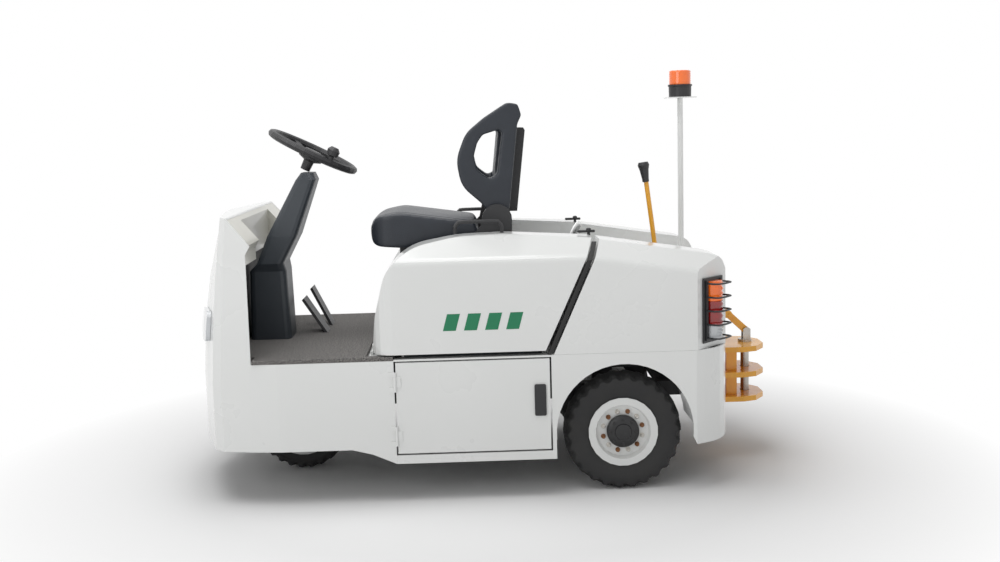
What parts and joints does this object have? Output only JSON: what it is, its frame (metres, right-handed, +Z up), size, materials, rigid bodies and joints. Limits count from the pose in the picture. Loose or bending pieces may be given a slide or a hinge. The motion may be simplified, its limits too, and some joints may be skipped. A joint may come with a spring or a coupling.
{
  "type": "airport baggage tug",
  "caption": "Electric three-wheel baggage tow tractor with stand-up cowl, tilting seat hood, side doors, beacon on a pole and a lever-lifted pin hitch",
  "frame": {"origin": "on the floor, midway between nose and hitch tip, on the centre plane", "axes": "-X towards the nose, -Y towards the driver's left, +Z up"},
  "size_m": [2.13, 1.0206, 1.48],
  "materials": {
    "white": "gloss white paint",
    "cream": "satin cream paint",
    "black": "black plastic",
    "grey": "dark blue-grey plastic",
    "lining": "matt black",
    "steel": "black painted steel",
    "bare": "bare steel",
    "yellow": "yellow paint",
    "carpet": "looped mat",
    "vinyl": "black vinyl",
    "rubber": "black rubber",
    "amber": "clear amber",
    "red": "red lens",
    "clear": "clear lens"
  },
  "bodies": {
    "chassis": {"accelerator_pedal": "black", "battery_block": "grey", "beacon_base": "black", "beacon_lens": "amber", "beacon_pole": "white", "brake_pedal": "black", "chassis_frame": "steel", "column_cover": "grey", "cowl_lining": "lining", "dash_panel": "cream", "floor_mat": "carpet", "front_body": "white", "headlamp_left": "clear", "headlamp_right": "clear", "hitch_block": "yellow", "lamp_guard_left": "black", "lamp_guard_right": "black", "rear_axle": "steel", "rear_body": "white", "rear_cover": "white", "tail_lamp_left": "red", "tail_lamp_right": "red"},
    "door_left": {"door_handle_left": "black", "side_door_left": "white"},
    "door_right": {"door_handle_right": "black", "side_door_right": "white"},
    "hood": {"grab_rail_left": "black", "grab_rail_right": "black", "seat_base": "black", "seat_cushion": "vinyl", "seat_hood": "white"},
    "backrest": {"seat_back_box": "black", "seat_backrest": "vinyl"},
    "steering": {"steering_wheel": "black"},
    "fork": {"steer_fork": "steel"},
    "wheel_front": {"front_rim": "white", "front_tyre": "rubber"},
    "wheel_rear_left": {"rear_rim_left": "white", "rear_tyre_left": "rubber"},
    "wheel_rear_right": {"rear_rim_right": "white", "rear_tyre_right": "rubber"},
    "lever": {"hitch_lever": "yellow", "lever_knob": "black"},
    "link": {"hitch_link": "yellow"},
    "pin": {"hitch_pin": "bare"}
  },
  "joints": [
    {"name": "rear_wheel_left_spin", "type": "hinge", "parent": "chassis", "child": "wheel_rear_left", "pos_m": [0.475, -0.3875, 0.2075], "axis": [0, 1, 0], "continuous": true},
    {"name": "rear_wheel_right_spin", "type": "hinge", "parent": "chassis", "child": "wheel_rear_right", "pos_m": [0.475, 0.3875, 0.2075], "axis": [0, 1, 0], "continuous": true},
    {"name": "steering_wheel_turn", "type": "hinge", "parent": "chassis", "child": "steering", "pos_m": [-0.6235, 0, 1.209], "axis": [0.454, 0, 0.891], "range_deg": [-450, 450]},
    {"name": "steer_fork_turn", "type": "hinge", "parent": "chassis", "child": "fork", "pos_m": [-0.705, 0, 0.43], "axis": [0, 0, 1], "range_deg": [-75, 75]},
    {"name": "front_wheel_spin", "type": "hinge", "parent": "fork", "child": "wheel_front", "pos_m": [-0.705, 0, 0.178], "axis": [0, 1, 0], "continuous": true},
    {"name": "door_left_swing", "type": "hinge", "parent": "chassis", "child": "door_left", "pos_m": [-0.315, -0.5055, 0.33], "axis": [0, 0, -1], "range_deg": [0, 110]},
    {"name": "door_right_swing", "type": "hinge", "parent": "chassis", "child": "door_right", "pos_m": [-0.315, 0.5055, 0.33], "axis": [0, 0, 1], "range_deg": [0, 110]},
    {"name": "hood_tilt", "type": "hinge", "parent": "chassis", "child": "hood", "pos_m": [-0.4, 0, 0.508], "axis": [0, -1, 0], "range_deg": [0, 28]},
    {"name": "backrest_recline", "type": "hinge", "parent": "hood", "child": "backrest", "pos_m": [0.055, 0, 0.955], "axis": [0, 1, 0], "range_deg": [-38, 10]},
    {"name": "hitch_lever_swing", "type": "hinge", "parent": "chassis", "child": "lever", "pos_m": [0.686, 0, 0.6125], "axis": [0, -1, 0], "range_deg": [0, 42]},
    {"name": "hitch_link_swing", "type": "hinge", "parent": "lever", "child": "link", "pos_m": [0.942, 0, 0.54], "axis": [0, 1, 0], "range_deg": [0, 25]},
    {"name": "hitch_pin_lift", "type": "slide", "parent": "chassis", "child": "pin", "axis": [0, 0, 1], "range_m": [0, 0.212]}
  ],
  "couplings": [
    {"joint": "steer_fork_turn", "follows": "steering_wheel_turn", "ratio": 0.16667},
    {"joint": "hitch_link_swing", "follows": "hitch_lever_swing", "ratio": 0.5},
    {"joint": "hitch_pin_lift", "follows": "hitch_lever_swing", "m_per_rad": 0.28102}
  ]
}
